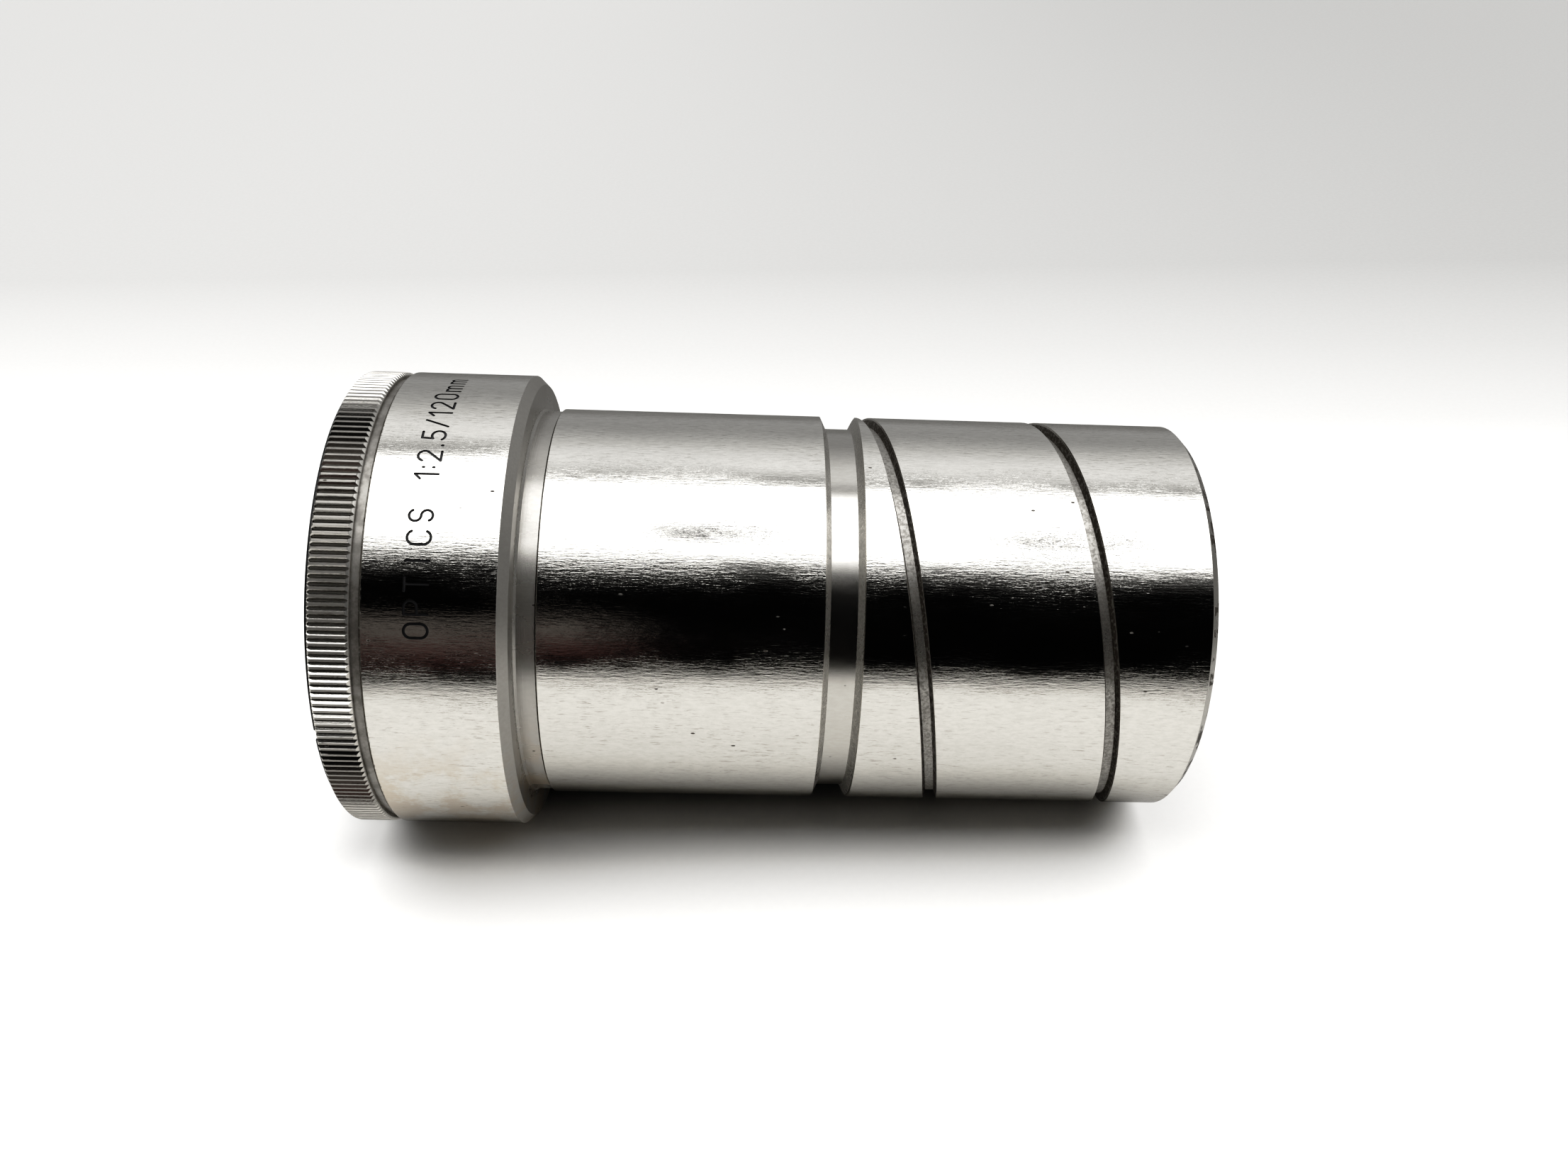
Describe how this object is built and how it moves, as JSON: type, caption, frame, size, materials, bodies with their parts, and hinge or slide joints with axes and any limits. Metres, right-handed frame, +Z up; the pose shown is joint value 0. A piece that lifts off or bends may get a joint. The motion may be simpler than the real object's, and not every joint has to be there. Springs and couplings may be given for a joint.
{
  "type": "projection lens",
  "caption": "Slide-projector lens: bright aluminium barrel with a ring groove and a spiral focusing groove, wider head and a knurled front cell that unscrews.",
  "frame": {"origin": "on the optical axis at the front end of the 52.5 mm barrel, where the head's neck meets it", "axes": "+X along the optical axis towards the rear (slide side), +Z up as the lens lies on its side"},
  "size_m": [0.1087, 0.0612, 0.0612],
  "materials": {
    "bright_aluminium": "turned and polished, fine axial brushing",
    "black_anodised": "matt black anodised",
    "coated_glass": "polished, single-layer coating",
    "shim_brass": "rolled"
  },
  "bodies": {
    "root": {"barrel": "bright_aluminium", "head_shell": "bright_aluminium", "lens_tube": "black_anodised", "tube_lock_ring": "black_anodised", "focus_shim": "shim_brass", "middle_cell": "black_anodised", "middle_glass": "coated_glass", "middle_retainer": "black_anodised", "cell_lock_ring": "black_anodised", "middle_shim": "shim_brass", "aperture_stop": "black_anodised", "rear_spacer": "black_anodised", "rear_flint_glass": "coated_glass", "rear_crown_glass": "coated_glass", "rear_retainer": "black_anodised", "front_baffle": "black_anodised", "rear_baffle": "black_anodised"},
    "front_cell": {"front_glass": "coated_glass"},
    "front_ring": {"knurled_ring": "bright_aluminium", "front_bezel": "black_anodised", "front_shim": "shim_brass"}
  },
  "joints": [
    {"name": "front_cell_travel", "type": "slide", "parent": "root", "child": "front_cell", "axis": [-1, 0, 0], "range_m": [0, 0.0045]},
    {"name": "front_ring_turn", "type": "hinge", "parent": "front_cell", "child": "front_ring", "pos_m": [-0.02, 0, 0], "axis": [-1, 0, 0], "range_deg": [0, 2160]}
  ],
  "couplings": [
    {"joint": "front_cell_travel", "follows": "front_ring_turn", "m_per_rad": 0.00011937}
  ]
}
